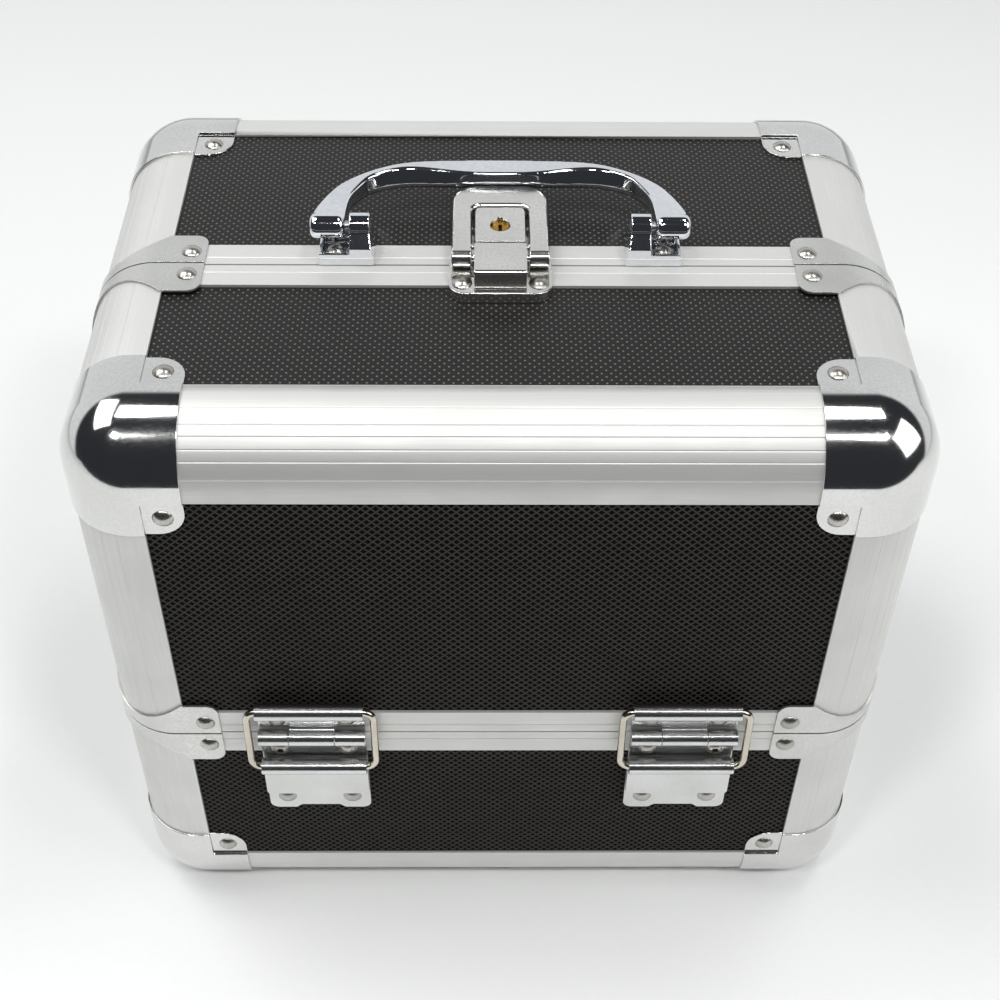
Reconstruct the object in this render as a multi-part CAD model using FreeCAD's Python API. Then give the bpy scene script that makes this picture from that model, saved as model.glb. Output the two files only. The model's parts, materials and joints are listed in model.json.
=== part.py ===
"""Makeup train case: aluminium-edged box whose top splits into two outward-swinging halves.

Units are millimetres, +Z is up, the front face looks along -Y, and the origin is on the floor
under the middle of the case. "Outward" on a face means away from the inside of the case.
"""
import FreeCAD, Part
import math
import os

V = FreeCAD.Vector
X_AXIS = V(1, 0, 0)
Y_AXIS = V(0, 1, 0)
Z_AXIS = V(0, 0, 1)
FRONT = -1
REAR = 1

# Case, measured over the outside of the aluminium edges
CASE_WIDTH = 254.0
CASE_DEPTH = 180.0
CASE_TOP = 228.0
SHEET = 0.8
CASE_BOTTOM = SHEET
SEAM_Z = 97.6
SEAM_Y = -8.8
SEAM_GAP = 0.6
HALF_W = CASE_WIDTH / 2
HALF_D = CASE_DEPTH / 2
TINY = 1e-6
OVERRUN = 1.0

# Rounded edge extrusion with a panel slot in each leg
EDGE_RADIUS = 20.5
EDGE_REACH = 24.0
FLANGE = 1.0
PANEL = 3.2
INNER_LEG = 1.2
SLOT_END = 17.0
SKIN = 1.2
WALL = FLANGE + PANEL + INNER_LEG
GROOVE_ANGLES = (75.5, 60.0, 50.25, 39.75, 30.0, 14.5)
GROOVE_DEPTH = 0.18
GROOVE_HALF_ANGLE = 0.6

# Seam channel that caps the panels along the seams
CHANNEL_FACE = 10.0
CHANNEL_WEB = 1.5
CHANNEL_GROOVE = 3.5
CHANNEL_GROOVE_HALF = 0.3
CHANNEL_GROOVE_DEPTH = 0.18

# Pressed ball corner
BALL_REACH = 36.5
BALL_RIVET = 30.0
TAB_START = EDGE_REACH + 0.2
TAB_ROUND = 8.5

# Seam bracket round an edge beside a seam
BRACKET_REACH = 35.5
BRACKET_TALL = 14.2
BRACKET_WAIST = 5.5
BRACKET_ROUND = 4.0
BRACKET_RIVET_IN = 30.8
BRACKET_RIVET_UP = 5.8

# Dome rivets
RIVET_HEAD = 3.2
RIVET_DOME = 1.5
LOW_DOME = 0.9
RIVET_SHANK = 1.6
EYELET_BORE = 1.1

# Hinge with a bail and lever on each lower seam
HINGE_X = 61.4
HINGE_HALF = 17.5
LEAF = 1.2
HINGE_OUT = 3.3
HINGE_Z = 99.0
KNUCKLE_RADIUS = 2.9
PIN_RADIUS = 1.2
PIN_ROOM = 0.1
KNUCKLE_MIDDLE_HALF = 7.4
KNUCKLE_SPLIT = 0.3
KNUCKLE_ROOM = 0.5
KNUCKLE_WEB_OUT = 2.5
KNUCKLE_WEB_RISE = 1.7
UPPER_RIVET_Z = 106.0
LOWER_RIVET_Z = (90.5, 62.8)
LEAF_RIVET_X = 11.2
LEAF_FOOT_Z = 56.0
LEAF_NOTCH_Z = 57.6
LEAF_NOTCH_X = (8.5, 6.6)
LEAF_CORNER = 3.0
ROLL_OUT = 3.3
ROLL_Z = 112.4
ROLL_RADIUS = 2.9
CURL_OUT = 4.9
CURL_Z = 85.2
CURL_RADIUS = 2.8
BAIL_WIRE = 1.3
BAIL_BORE = 1.6
BAIL_HALF = 20.7
BAIL_CORNER = 4.0
LEVER_FOOT_Z = 67.4
LEVER_OUT = 2.4
LEVER_CORNER = 1.5
LEVER_DROP = 1.8

# Cantilever trays: distances from the lid hinge line, inward and up
TRAY_PIVOTS = {"lower": (22.0, 26.0), "upper": (48.0, 56.7)}
STUD_ROOTS = {"lower": HALF_W - WALL, "upper": HALF_W - FLANGE - PANEL}
TRAY_HEIGHTS = {"lower": (16.0, 40.0), "upper": (46.5, 80.0)}
TRAY_NEAR = 13.5
TRAY_FAR = {FRONT: 80.0, REAR: 97.0}
TRAY_HALF = 117.2
TRAY_WALL = 1.6
TRAY_ROUND = 4.0
ARM_OFFSET = (25.0, -5.0)
ARM_HALF = 3.0
ARM_X = (118.5, 120.0)
STUD_RADIUS = 2.0
STUD_ROOM = 0.25
STUD_END_ROOM = 0.2
STUD_HEAD = 3.5
STUD_HEAD_TALL = 1.2
ARM_PIN_RADIUS = 1.8
ARM_PIN_ROOM = 0.45

# Handle, lying back on the rear half
HANDLE_Y = -1.6
HANDLE_Z = CASE_TOP + 9.6
HANDLE_BOTTOM = CASE_TOP + 5.4
HANDLE_TOP = CASE_TOP + 12.6
BARREL_RADIUS = 3.9
BARREL_X = (47.9, 59.0)
BARREL_ROUND = 2.2
HANDLE_PIN = 1.6
HANDLE_PIN_END = 54.0
HANDLE_SIDE = CASE_TOP + 8.5
# Stations from the right barrel to the middle: outer edge, inner edge of the flat top, inner side
HANDLE_STATIONS = (
    ((58.2, -1.6), (47.9, -1.6), (47.9, -1.6)),
    ((57.6, 2.6), (47.9, 2.2), (47.8, 2.2)),
    ((56.2, 6.6), (47.7, 6.0), (47.4, 6.0)),
    ((54.2, 11.0), (47.0, 10.4), (46.6, 10.3)),
    ((51.2, 16.2), (45.6, 13.9), (45.1, 13.6)),
    ((47.3, 20.4), (43.6, 17.9), (42.9, 17.4)),
    ((43.4, 23.5), (41.4, 21.1), (40.7, 20.2)),
    ((37.5, 27.0), (36.5, 24.3), (36.0, 22.5)),
    ((31.4, 29.3), (31.0, 26.2), (30.7, 23.4)),
    ((24.0, 30.5), (23.8, 26.0), (23.7, 23.4)),
    ((16.0, 30.9), (15.8, 24.4), (15.8, 22.9)),
    ((8.0, 31.1), (8.0, 23.3), (8.0, 22.8)),
    ((0.0, 31.1), (0.0, 23.1), (0.0, 22.8)),
)
POST_X = (40.3, 46.5)
POST_FOOT = (-9.0, 1.0)
POST_FOOT_TALL = 4.0
POST_SHIN = 6.0
POST_POCKET_FLOOR = 2.0
POST_POCKET_WALL = 1.0
POST_FLANGE_X = (38.8, 56.0)
POST_ROUND = 4.0
POST_RIVET = (51.2, -4.0)

# Top lock
LEVER_HALF = 15.0
LEVER_GAP_HALF = 8.85
LEVER_AXIS_Y = -13.0
LEVER_AXIS_Z = CASE_TOP + 5.9
LEVER_NOSE = 2.9
LEVER_UNDER = CASE_TOP + 4.2
LEVER_TOP = CASE_TOP + 8.8
LEVER_REAR = 22.4
LEVER_GAP_REAR = 11.2
LEVER_REAR_ROUND = 8.0
LEVER_GAP_ROUND = 3.0
LEVER_EDGE_ROUND = 1.2
HOUSING_HALF = 7.7
HOUSING_Y = (-8.0, 10.3)
HOUSING_TOP = CASE_TOP + 8.5
HOUSING_CORNER = 2.0
TONGUE_Y = (-14.6, -11.4)
TONGUE_Z = (CASE_TOP + 3.0, CASE_TOP + 5.8, CASE_TOP + 7.2)
LOCK_BASE_HALF = 14.5
LOCK_BASE_REAR = 21.0
LOCK_BASE_TALL = 1.2
SKIRT_ROOM = 0.2
LOCK_BASE_RIVET = (11.4, 8.0)
AXLE_RADIUS = 1.2
AXLE_HALF = 13.0
PLUG_Y = 0.5
PLUG_RADIUS = 3.0
PLUG_Z = (CASE_TOP + 2.5, CASE_TOP + 7.4)
KEY_SLOT = (1.1, 3.8, 3.0)
KEYWAY = (1.7, 1.3, 1.5)
CLAW_HALF = 8.0
CLAW_PIN_Y = -9.6
CLAW_PIN_Z = CASE_TOP + 7.5
CLAW_PIN_RADIUS = 0.8
CLAW_CURL = 1.3
CLAW_Z = (CASE_TOP + 7.6, CASE_TOP + 8.8)
CLAW_FRONT = -24.1
CLAW_LIP = 1.2
CLAW_FOOT = CASE_TOP + 2.9
CLAW_ROUND = 1.1
KEEPER_HALF = 15.75
KEEPER_Y = (-26.6, -9.2)
KEEPER_TALL = 2.6
KEEPER_CORNER = 5.0
KEEPER_NOTCH_HALF = 8.6
KEEPER_NOTCH_FRONT = -15.4
KEEPER_RIVET = (11.7, -21.4)
HOOK_HALF = 6.5
HOOK_Y = (-22.4, -20.6)
HOOK_TOP = CASE_TOP + 6.6

nodes = {}
rivets = {}


def box(x_span, y_span, z_span):
    """Box between two limits on each axis, given in either order."""
    low = V(min(x_span), min(y_span), min(z_span))
    size = V(max(x_span), max(y_span), max(z_span)) - low
    return Part.makeBox(size.x, size.y, size.z, low)


def rod(start, end, radius):
    """Round bar from one point to another."""
    return Part.makeCylinder(radius, (end - start).Length, start, end - start)


def outline(start, *moves):
    """Closed wire from start; a move is an end point, or a (via, end) pair for an arc."""
    edges = []
    here = start
    for move in moves + (start,):
        via, end = move if isinstance(move, tuple) else (None, move)
        if (end - here).Length > TINY:
            curve = Part.LineSegment(here, end) if via is None else Part.Arc(here, via, end)
            edges.append(curve.toShape())
        here = end
    return Part.Wire(edges)


def prism(wire, sweep):
    """Solid swept straight from a closed flat wire."""
    return Part.Face(wire).extrude(sweep)


def corner_arc(corner, before, after, radius):
    """Points that round a square corner: arc start, then the (via, end) move."""
    start = corner + before * radius
    end = corner + after * radius
    centre = corner + (before + after) * radius
    via = centre - (before + after) * (radius * math.sqrt(0.5))
    return start, (via, end)


def oriented(shape, origin, axes):
    """Copy of a shape drawn in local axes, set at origin along three inward or edge axes."""
    first, second, third = axes
    if first.cross(second).dot(third) < 0:
        first, second = second, first
    turned = shape.copy()
    turned.Placement = FreeCAD.Placement(FreeCAD.Matrix(
        first.x, second.x, third.x, origin.x,
        first.y, second.y, third.y, origin.y,
        first.z, second.z, third.z, origin.z,
        0, 0, 0, 1))
    return turned


def add(node, *shapes):
    """Put solids into a named node."""
    for shape in shapes:
        nodes.setdefault(node, []).extend(shape.Solids)


def outward(side, distance):
    """Y of a point that stands a distance outside the front or rear face."""
    return side * (HALF_D + distance)


def edge_rail(start, end, in_a, in_b):
    """One length of edge extrusion; start and end lie on the sharp outer edge it rounds off."""
    def at(a, b):
        return start + in_a * a + in_b * b

    def on_arc(angle, radius=EDGE_RADIUS):
        turn = math.radians(angle)
        return at(EDGE_RADIUS - radius * math.cos(turn), EDGE_RADIUS - radius * math.sin(turn))

    moves = [at(EDGE_RADIUS, 0)]
    last = 90.0
    for angle in GROOVE_ANGLES:
        near = angle + GROOVE_HALF_ANGLE
        far = angle - GROOVE_HALF_ANGLE
        moves.append((on_arc((last + near) / 2), on_arc(near)))
        moves.append(on_arc(angle, EDGE_RADIUS - GROOVE_DEPTH))
        moves.append(on_arc(far))
        last = far
    moves.append((on_arc(last / 2), at(0, EDGE_RADIUS)))

    slot = FLANGE + PANEL
    web = SLOT_END - SKIN
    inside = EDGE_RADIUS - SKIN
    skin_back = EDGE_RADIUS - math.sqrt(inside ** 2 - (EDGE_RADIUS - web) ** 2)
    moves += [at(0, EDGE_REACH), at(FLANGE, EDGE_REACH), at(FLANGE, SLOT_END), at(slot, SLOT_END)]
    moves += [at(slot, EDGE_REACH), at(WALL, EDGE_REACH), at(WALL, web), at(skin_back, web)]
    moves += [(on_arc(45, inside), at(web, skin_back)), at(web, WALL), at(EDGE_REACH, WALL)]
    moves += [at(EDGE_REACH, slot), at(SLOT_END, slot), at(SLOT_END, FLANGE), at(EDGE_REACH, FLANGE)]
    return prism(outline(at(EDGE_REACH, 0), *moves), end - start)


def seam_channel(start, end, inward, away):
    """One length of seam channel; start and end lie on its outer edge, away leads from the seam."""
    def at(depth, rise):
        return start + inward * depth + away * rise

    slot = FLANGE + PANEL
    wire = outline(
        at(0, 0), at(0, CHANNEL_GROOVE - CHANNEL_GROOVE_HALF), at(CHANNEL_GROOVE_DEPTH, CHANNEL_GROOVE),
        at(0, CHANNEL_GROOVE + CHANNEL_GROOVE_HALF), at(0, CHANNEL_FACE), at(FLANGE, CHANNEL_FACE),
        at(FLANGE, CHANNEL_WEB), at(slot, CHANNEL_WEB), at(slot, CHANNEL_FACE), at(WALL, CHANNEL_FACE),
        at(WALL, 0))
    return prism(wire, end - start)


def rounded_corner_block(near, far, radius):
    """Cube from near to far on all axes, with the three edges at its near corner rounded."""
    cube = box((near, far), (near, far), (near, far))
    corner = V(near, near, near)
    edges = [edge for edge in cube.Edges if min((v.Point - corner).Length for v in edge.Vertexes) < TINY]
    return cube.makeFillet(radius, edges)


def ball_corner():
    """Pressed corner in local axes that run inward along the three edges."""
    skin = rounded_corner_block(-SHEET, BALL_REACH, EDGE_RADIUS + SHEET)
    skin = skin.cut(rounded_corner_block(0, BALL_REACH + OVERRUN, EDGE_RADIUS))
    far_corner = V(BALL_REACH, BALL_REACH, 0)
    arc_start, arc = corner_arc(far_corner, -X_AXIS, -Y_AXIS, TAB_ROUND)
    tab = prism(outline(
        V(TAB_START, TAB_START, 0), V(TAB_START, BALL_REACH, 0), arc_start, arc,
        V(BALL_REACH, TAB_START, 0)), Z_AXIS * (FLANGE + SHEET))
    tab.translate(V(0, 0, -SHEET))
    step = TAB_START + SHEET
    tab = tab.cut(box((step, BALL_REACH), (step, BALL_REACH), (-SHEET, FLANGE - SHEET)))
    window = box((TAB_START, BALL_REACH), (TAB_START, BALL_REACH), (-SHEET, 0))
    for axes in ((X_AXIS, Y_AXIS, Z_AXIS), (Y_AXIS, Z_AXIS, X_AXIS), (Z_AXIS, X_AXIS, Y_AXIS)):
        skin = skin.cut(oriented(window, V(0, 0, 0), axes))
        skin = skin.fuse(oriented(tab, V(0, 0, 0), axes))
    return skin.removeSplitter()


def seam_bracket():
    """Bracket in local axes: X and Y run inward from two faces, Z leads away from the seam."""
    length = BRACKET_REACH + SHEET
    start = SEAM_GAP / 2
    outer_edge = box((-SHEET, BRACKET_REACH), (-SHEET, BRACKET_REACH), (start, BRACKET_TALL))
    inner_edge = box((0, length), (0, length), (0, BRACKET_TALL + OVERRUN))
    skins = []
    for block, corner, radius in (
            (outer_edge, -SHEET, EDGE_RADIUS + SHEET), (inner_edge, 0, EDGE_RADIUS)):
        upright = [edge for edge in block.Edges
                   if all(abs(v.X - corner) + abs(v.Y - corner) < TINY for v in edge.Vertexes)]
        skins.append(block.makeFillet(radius, upright))
    skin = skins[0].cut(skins[1])
    waist_radius = (EDGE_REACH ** 2 / 2 + (BRACKET_TALL - BRACKET_WAIST) ** 2) / (
        2 * (BRACKET_TALL - BRACKET_WAIST))
    diagonal = V(1, 1, 0).normalize()
    middle = V(0, 0, BRACKET_WAIST + waist_radius)
    skin = skin.cut(rod(middle - diagonal * length, middle + diagonal * length, waist_radius))
    tips = [edge for edge in skin.Edges
            if edge.Length < 2 * SHEET and edge.BoundBox.ZMin > BRACKET_TALL - TINY
            and max(edge.BoundBox.XMin, edge.BoundBox.YMin) > BRACKET_REACH - SHEET]
    return skin.makeFillet(BRACKET_ROUND, tips)


def rivet(body, seat, outward_axis, depth, dome=RIVET_DOME, eyelet=False):
    """Note a rivet whose dome sits at seat, with a shank that runs depth inward."""
    rivets.setdefault(body, []).append((seat, outward_axis, depth, dome, eyelet))


def rivet_solid(seat, outward_axis, depth, dome, eyelet):
    """Dome-headed rivet, or an eyelet with a hole down its middle."""
    ball = (RIVET_HEAD ** 2 + dome ** 2) / (2 * dome)
    lean = math.asin(RIVET_HEAD / ball) / 2
    shoulder = V(ball * math.sin(lean), 0, dome - ball + ball * math.cos(lean))
    half = outline(
        V(0, 0, -depth), V(RIVET_SHANK, 0, -depth), V(RIVET_SHANK, 0, 0), V(RIVET_HEAD, 0, 0),
        (shoulder, V(0, 0, dome)))
    solid = Part.Face(half).revolve(V(0, 0, 0), Z_AXIS, 360)
    if eyelet:
        solid = solid.cut(rod(V(0, 0, -depth), V(0, 0, dome), EYELET_BORE))
    solid.Placement = FreeCAD.Placement(seat, FreeCAD.Rotation(Z_AXIS, outward_axis))
    return solid


def finish_rivets(body_nodes):
    """Drill every body's pieces for its rivets and add the rivets to the body's rivet node."""
    for body, places in rivets.items():
        shanks = [rod(seat, seat - axis * depth, RIVET_SHANK) for seat, axis, depth, _, _ in places]
        for node in body_nodes[body]:
            drilled = []
            for solid in nodes[node]:
                near = [shank for shank in shanks if shank.BoundBox.intersect(solid.BoundBox)]
                drilled.extend(solid.cut(near).Solids if near else [solid])
            nodes[node] = drilled
        for place in places:
            add(body + "_rivets", rivet_solid(*place))


def wall_panel(side, x_span, z_span):
    """Front or rear panel, set back behind the flanges."""
    return box(x_span, (outward(side, -FLANGE), outward(side, -FLANGE - PANEL)), z_span)


def end_panel(hand, y_span, z_span):
    """Left or right panel, set back behind the flanges."""
    return box((hand * (HALF_W - FLANGE), hand * (HALF_W - FLANGE - PANEL)), y_span, z_span)


def fit_ball_corner(body, hand, side, level):
    """One ball corner with its three tab rivets; level is -1 at the bottom and 1 at the top."""
    origin = V(hand * HALF_W, side * HALF_D, CASE_TOP if level > 0 else CASE_BOTTOM)
    inward = (X_AXIS * -hand, Y_AXIS * -side, Z_AXIS * -level)
    add(body + "_ball_corners", oriented(ball_corner(), origin, inward))
    for face in range(3):
        along = [axis for index, axis in enumerate(inward) if index != face]
        seat = origin + (along[0] + along[1]) * BALL_RIVET + inward[face] * (FLANGE - SHEET)
        under_case = inward[face] == Z_AXIS
        rivet(body, seat, -inward[face], PANEL + SHEET, LOW_DOME if under_case else RIVET_DOME)


def fit_seam_bracket(body, origin, in_a, in_b, away):
    """One seam bracket with a rivet on each of its two tabs."""
    add(body + "_seam_brackets", oriented(seam_bracket(), origin, (in_a, in_b, away)))
    for along, inward in ((in_a, in_b), (in_b, in_a)):
        seat = origin + along * BRACKET_RIVET_IN + away * BRACKET_RIVET_UP - inward * SHEET
        rivet(body, seat, -inward, WALL + SHEET)


def build_base():
    """Lower box: five panels, edge extrusions, rim channels, ball corners and brackets."""
    rim = SEAM_Z - SEAM_GAP / 2
    floor = CASE_BOTTOM
    panel_x = HALF_W - SLOT_END
    panel_y = HALF_D - SLOT_END
    panel_z = (floor + SLOT_END, rim - CHANNEL_WEB)
    clear_x = HALF_W - EDGE_REACH
    clear_y = HALF_D - EDGE_REACH
    bottom_z = (floor + FLANGE, floor + FLANGE + PANEL)
    add("base_bottom_panel", box((-panel_x, panel_x), (-panel_y, panel_y), bottom_z))
    for side, name in ((FRONT, "front"), (REAR, "rear")):
        add("base_%s_panel" % name, wall_panel(side, (-panel_x, panel_x), panel_z))
        face = side * HALF_D
        inward = Y_AXIS * -side
        add("base_bottom_rails", edge_rail(V(-clear_x, face, floor), V(clear_x, face, floor), inward, Z_AXIS))
        add("base_rim_channels", seam_channel(V(-clear_x, face, rim), V(clear_x, face, rim), inward, -Z_AXIS))
    for hand in (-1, 1):
        add("base_side_panels", end_panel(hand, (-panel_y, panel_y), panel_z))
        face = hand * HALF_W
        inward = X_AXIS * -hand
        add("base_bottom_rails", edge_rail(V(face, -clear_y, floor), V(face, clear_y, floor), inward, Z_AXIS))
        add("base_rim_channels", seam_channel(V(face, -clear_y, rim), V(face, clear_y, rim), inward, -Z_AXIS))
        for side in (FRONT, REAR):
            foot = V(face, side * HALF_D, floor + EDGE_REACH)
            add("base_corner_posts", edge_rail(foot, V(foot.x, foot.y, rim), inward, Y_AXIS * -side))
            fit_ball_corner("base", hand, side, -1)
            fit_seam_bracket("base", V(foot.x, foot.y, SEAM_Z), inward, Y_AXIS * -side, -Z_AXIS)


def build_lid(side, body):
    """One half of the top: panels, edges, rim and seam channels, ball corners and brackets."""
    rim = SEAM_Z + SEAM_GAP / 2
    seam = SEAM_Y + side * SEAM_GAP / 2
    face = side * HALF_D
    out = Y_AXIS * side
    panel_x = HALF_W - SLOT_END
    panel_y = (face - side * SLOT_END, seam + side * CHANNEL_WEB)
    clear_x = HALF_W - EDGE_REACH
    clear_y = face - side * EDGE_REACH
    crown = CASE_TOP - EDGE_REACH
    panel_z = (rim + CHANNEL_WEB, CASE_TOP - SLOT_END)
    add(body + "_wall_panel", wall_panel(side, (-panel_x, panel_x), panel_z))
    top_z = (CASE_TOP - FLANGE, CASE_TOP - FLANGE - PANEL)
    add(body + "_top_panel", box((-panel_x, panel_x), panel_y, top_z))
    outer_edge = [V(x, face, CASE_TOP) for x in (-clear_x, clear_x)]
    add(body + "_top_edges", edge_rail(*outer_edge, -out, -Z_AXIS))
    add(body + "_rim_channels", seam_channel(V(-clear_x, face, rim), V(clear_x, face, rim), -out, Z_AXIS))
    seam_edge = [V(x, seam, CASE_TOP) for x in (-clear_x, clear_x)]
    add(body + "_seam_channels", seam_channel(*seam_edge, -Z_AXIS, out))
    for hand in (-1, 1):
        end = hand * HALF_W
        inward = X_AXIS * -hand
        add(body + "_side_panels", end_panel(hand, panel_y, panel_z))
        end_edge = [V(end, y, CASE_TOP) for y in (clear_y, seam)]
        add(body + "_top_edges", edge_rail(*end_edge, inward, -Z_AXIS))
        add(body + "_corner_posts", edge_rail(V(end, face, rim), V(end, face, crown), inward, -out))
        add(body + "_rim_channels", seam_channel(V(end, clear_y, rim), V(end, seam, rim), inward, Z_AXIS))
        upright = seam_channel(V(end, seam, rim + CHANNEL_FACE), V(end, seam, crown), inward, out)
        add(body + "_seam_channels", upright)
        fit_ball_corner(body, hand, side, 1)
        fit_seam_bracket(body, V(end, face, SEAM_Z), inward, -out, Z_AXIS)
        fit_seam_bracket(body, V(end, SEAM_Y, CASE_TOP), inward, -Z_AXIS, out)


def tube(x_span, y, z, radius, bore):
    """Tube along X."""
    ends = [V(x, y, z) for x in x_span]
    return rod(ends[0], ends[1], radius).cut(rod(ends[0], ends[1], bore))


def lower_leaf(side, middle):
    """Hinge leaf on the base, which runs down behind the lever to a notched foot."""
    def at(x, z):
        return V(middle + x, outward(side, 0), z)

    half = HINGE_HALF
    rim = SEAM_Z - SEAM_GAP / 2
    room = HINGE_Z - KNUCKLE_RADIUS - KNUCKLE_ROOM
    gap = KNUCKLE_MIDDLE_HALF + KNUCKLE_SPLIT
    wide, narrow = LEAF_NOTCH_X
    left = corner_arc(at(-half, LEAF_FOOT_Z), Z_AXIS, X_AXIS, LEAF_CORNER)
    right = corner_arc(at(half, LEAF_FOOT_Z), -X_AXIS, Z_AXIS, LEAF_CORNER)
    plate = prism(outline(
        at(-half, rim), *left, at(-wide, LEAF_FOOT_Z), at(-narrow, LEAF_NOTCH_Z),
        at(narrow, LEAF_NOTCH_Z), at(wide, LEAF_FOOT_Z), *right, at(half, rim),
        at(gap, rim), at(gap, room), at(-gap, room), at(-gap, rim)), Y_AXIS * (side * LEAF))
    y = outward(side, HINGE_OUT)
    for hand in (-1, 1):
        span = (middle + hand * gap, middle + hand * half)
        plate = plate.fuse(box(span, (outward(side, 0), outward(side, KNUCKLE_WEB_OUT)), (room, rim)))
        plate = plate.fuse(rod(V(span[0], y, HINGE_Z), V(span[1], y, HINGE_Z), KNUCKLE_RADIUS))
    bore = rod(V(middle - half, y, HINGE_Z), V(middle + half, y, HINGE_Z), PIN_RADIUS)
    return plate.cut(bore).removeSplitter()


def upper_leaf(side, middle):
    """Hinge leaf on the lid, from the middle knuckle up to the roll that holds the bail."""
    def at(x, z):
        return V(middle + x, outward(side, 0), z)

    half = HINGE_HALF
    room = HINGE_Z + KNUCKLE_RADIUS + KNUCKLE_ROOM
    knuckle_top = HINGE_Z + KNUCKLE_WEB_RISE
    neck = KNUCKLE_MIDDLE_HALF
    plate = prism(outline(
        at(-half, ROLL_Z), at(-half, room), at(-neck, room), at(-neck, knuckle_top),
        at(neck, knuckle_top), at(neck, room), at(half, room), at(half, ROLL_Z)), Y_AXIS * (side * LEAF))
    span = (middle - neck, middle + neck)
    y = outward(side, HINGE_OUT)
    plate = plate.fuse(box(span, (outward(side, 0), outward(side, KNUCKLE_WEB_OUT)), (knuckle_top, room)))
    plate = plate.fuse(rod(V(span[0], y, HINGE_Z), V(span[1], y, HINGE_Z), KNUCKLE_RADIUS))
    plate = plate.cut(rod(V(span[0], y, HINGE_Z), V(span[1], y, HINGE_Z), PIN_RADIUS + PIN_ROOM))
    roll = tube((middle - half, middle + half), outward(side, ROLL_OUT), ROLL_Z, ROLL_RADIUS, BAIL_BORE)
    return plate.fuse(roll).removeSplitter()


def bail(side, middle):
    """Closed wire ring through the roll on the lid and the curl of the lever."""
    rise = math.hypot(ROLL_Z - CURL_Z, CURL_OUT - ROLL_OUT)
    half = BAIL_HALF
    low_left = corner_arc(V(-half, 0, 0), Z_AXIS, X_AXIS, BAIL_CORNER)
    low_right = corner_arc(V(half, 0, 0), -X_AXIS, Z_AXIS, BAIL_CORNER)
    top_right = corner_arc(V(half, 0, rise), -Z_AXIS, -X_AXIS, BAIL_CORNER)
    top_left = corner_arc(V(-half, 0, rise), X_AXIS, -Z_AXIS, BAIL_CORNER)
    path = outline(V(0, 0, 0), *low_right, *top_right, *top_left, *low_left)
    section = Part.Wire(Part.makeCircle(BAIL_WIRE, V(0, 0, 0), X_AXIS))
    ring = Part.Wire(path).makePipeShell([section], True, False)
    lean = math.degrees(math.atan2(CURL_OUT - ROLL_OUT, ROLL_Z - CURL_Z))
    ring.rotate(V(0, 0, 0), X_AXIS, side * lean)
    ring.translate(V(middle, outward(side, CURL_OUT), CURL_Z))
    return ring


def latch_lever(side, middle):
    """Lever plate that hangs from the bail by a curl along its top."""
    def at(x, z):
        return V(middle + x, outward(side, LEVER_OUT), z)

    half = HINGE_HALF
    top = CURL_Z - LEVER_DROP
    left = corner_arc(at(-half, LEVER_FOOT_Z), Z_AXIS, X_AXIS, LEVER_CORNER)
    right = corner_arc(at(half, LEVER_FOOT_Z), -X_AXIS, Z_AXIS, LEVER_CORNER)
    plate = prism(outline(at(-half, top), *left, *right, at(half, top)), Y_AXIS * (side * LEAF))
    curl = tube((middle - half, middle + half), outward(side, CURL_OUT), CURL_Z, CURL_RADIUS, BAIL_BORE)
    return plate.fuse(curl).removeSplitter()


def build_hinges(side, name):
    """The two hinges of one lid, with their pins, bails and levers."""
    face = Y_AXIS * side
    body = name + "_lid"
    for hand, place in ((-1, "left"), (1, "right")):
        middle = hand * HINGE_X
        add("hinge_lower_leaves", lower_leaf(side, middle))
        add(name + "_hinge_upper_leaves", upper_leaf(side, middle))
        y = outward(side, HINGE_OUT)
        ends = [V(middle + end * HINGE_HALF, y, HINGE_Z) for end in (-1, 1)]
        add("hinge_pins", rod(ends[0], ends[1], PIN_RADIUS))
        add("%s_%s_bail" % (name, place), bail(side, middle))
        add("%s_%s_latch_lever" % (name, place), latch_lever(side, middle))
        for end in (-1, 1):
            x = middle + end * LEAF_RIVET_X
            rivet(body, V(x, outward(side, LEAF), UPPER_RIVET_Z), face, WALL + LEAF)
            for z in LOWER_RIVET_Z:
                hollow = z == LOWER_RIVET_Z[0] and end == hand
                rivet("base", V(x, outward(side, LEAF), z), face, WALL + LEAF, eyelet=hollow)


def linkage_point(side, offset):
    """Y and Z of a point given inward and up from a lid's hinge line."""
    return outward(side, HINGE_OUT) - side * offset[0], HINGE_Z + offset[1]


def tray(side, level):
    """Open tray whose ends carry a lid stud and an arm pin."""
    near = linkage_point(side, (TRAY_NEAR, TRAY_HEIGHTS[level][0]))
    far = linkage_point(side, (TRAY_FAR[side], TRAY_HEIGHTS[level][1]))

    def trough(inset, x_half):
        low = min(near[0], far[0]) + inset
        high = max(near[0], far[0]) - inset
        bottom = near[1] + inset
        radius = TRAY_ROUND - inset
        first = corner_arc(V(-x_half, low, bottom), Z_AXIS, Y_AXIS, radius)
        second = corner_arc(V(-x_half, high, bottom), -Y_AXIS, Z_AXIS, radius)
        top = far[1] + inset
        wire = outline(V(-x_half, low, top), *first, *second, V(-x_half, high, top))
        return prism(wire, X_AXIS * (2 * x_half))

    shell = trough(0, TRAY_HALF).cut(trough(TRAY_WALL, TRAY_HALF - TRAY_WALL))
    pivot = TRAY_PIVOTS[level]
    second = (pivot[0] + ARM_OFFSET[0], pivot[1] + ARM_OFFSET[1])
    for offset, radius in ((pivot, STUD_RADIUS + STUD_ROOM), (second, ARM_PIN_RADIUS + ARM_PIN_ROOM)):
        y, z = linkage_point(side, offset)
        shell = shell.cut(rod(V(-HALF_W, y, z), V(HALF_W, y, z), radius))
    return shell


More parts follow.
